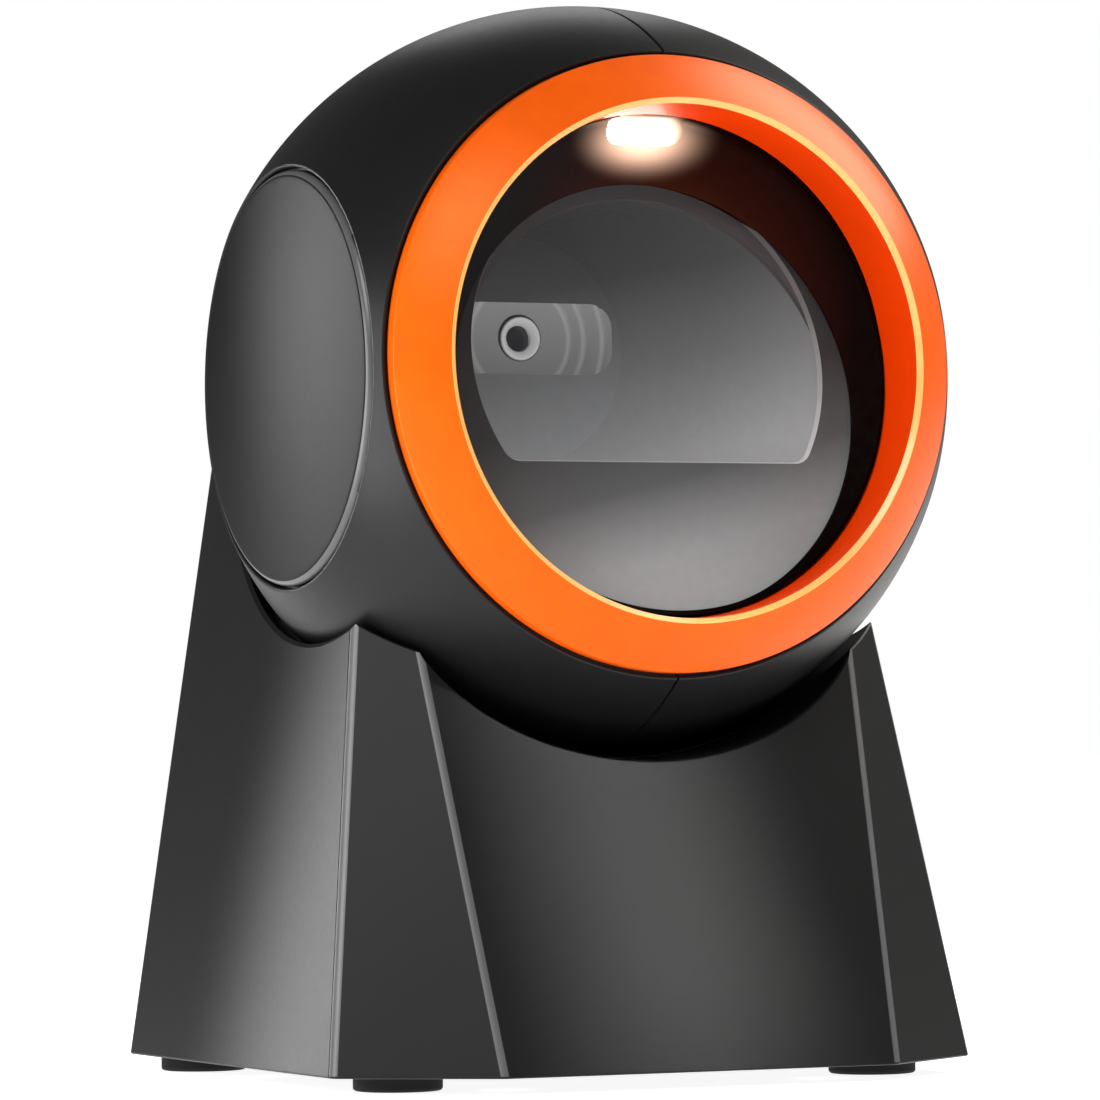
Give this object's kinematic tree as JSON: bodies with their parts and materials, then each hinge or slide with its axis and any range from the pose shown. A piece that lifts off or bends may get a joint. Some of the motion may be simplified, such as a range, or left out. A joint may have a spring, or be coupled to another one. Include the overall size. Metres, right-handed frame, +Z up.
{
  "type": "presentation barcode scanner",
  "caption": "Free-standing presentation barcode scanner: a ball-shaped scan head with an orange bezel ring that tilts in the saddle of a faceted tapering base.",
  "frame": {"origin": "on the surface it stands on, under the middle of the bounding box", "axes": "+Z up; the scan window faces -Y; +X to the right seen from in front"},
  "size_m": [0.0976, 0.0922, 0.15],
  "materials": {
    "head_black": "satin moulded ABS, near black, very fine texture",
    "base_black": "satin moulded ABS, near black, fine spark texture",
    "cover_black": "satin moulded ABS side cover, slightly lighter",
    "bezel_orange": "smooth moulded orange plastic, soft gloss",
    "hood_black": "matt black light hood",
    "window_glass": "clear hard-coated window, slight grey tint",
    "mask_grey": "matt dark grey printed mask",
    "gasket_foam": "black foam gasket",
    "chamber_grey": "matt grey moulded light chamber",
    "engine_grey": "matt mid grey engine face",
    "engine_dark": "matt black engine housing",
    "lens_black": "black anodised lens barrel",
    "lens_clear": "coated lens glass",
    "pcb_green": "green solder mask circuit board",
    "chip_black": "black epoxy chip packages",
    "connector_white": "off-white nylon connector",
    "screw_steel": "zinc plated steel screws",
    "ballast_steel": "black-oxide steel ballast plate",
    "yoke_steel": "pressed steel yoke, zinc plated",
    "lamp_white": "frosted clear lamp lens, lit white",
    "led_yellow": "white LED packages with yellow phosphor",
    "jack_plastic": "black jack housing",
    "contact_gold": "gold plated contact springs",
    "foot_rubber": "black moulded rubber",
    "wire_black": "black PVC insulated wire",
    "washer_nylon": "natural nylon friction washer"
  },
  "bodies": {
    "base": {"base_front_shell": "base_black", "base_rear_shell": "base_black", "bottom_plate": "base_black", "rubber_feet": "foot_rubber", "ballast_weight": "ballast_steel", "base_screws": "screw_steel", "tilt_yoke": "yoke_steel", "yoke_screws": "screw_steel", "pivot_screws": "screw_steel", "friction_washers": "washer_nylon", "interface_board": "pcb_green", "board_spacers": "washer_nylon", "interface_board_screws": "screw_steel", "data_jack": "jack_plastic", "jack_contacts": "contact_gold", "buzzer": "chip_black", "interface_connector": "connector_white", "base_harness": "wire_black"},
    "head": {"head_shell_left": "head_black", "head_shell_right": "head_black", "side_cover_left": "cover_black", "side_cover_right": "cover_black", "bezel_ring": "bezel_orange", "window_hood": "hood_black", "scan_window": "window_glass", "window_mask": "mask_grey", "window_gasket": "gasket_foam", "light_chamber": "chamber_grey", "engine_face": "engine_grey", "engine_body": "engine_dark", "lens_barrel": "lens_black", "lens_glass": "lens_clear", "sensor_board": "pcb_green", "image_sensor": "chip_black", "main_board": "pcb_green", "main_board_chips": "chip_black", "main_board_connector": "connector_white", "main_board_screws": "screw_steel", "hood_screws": "screw_steel", "lamp_lens": "lamp_white", "lamp_leds": "led_yellow", "lamp_board": "pcb_green", "head_harness": "wire_black", "lamp_wire": "wire_black"}
  },
  "joints": [
    {"name": "head_tilt", "type": "hinge", "parent": "base", "child": "head", "pos_m": [0, -0.00745, 0.0972], "axis": [-1, 0, 0], "range_deg": [-12, 18]}
  ]
}
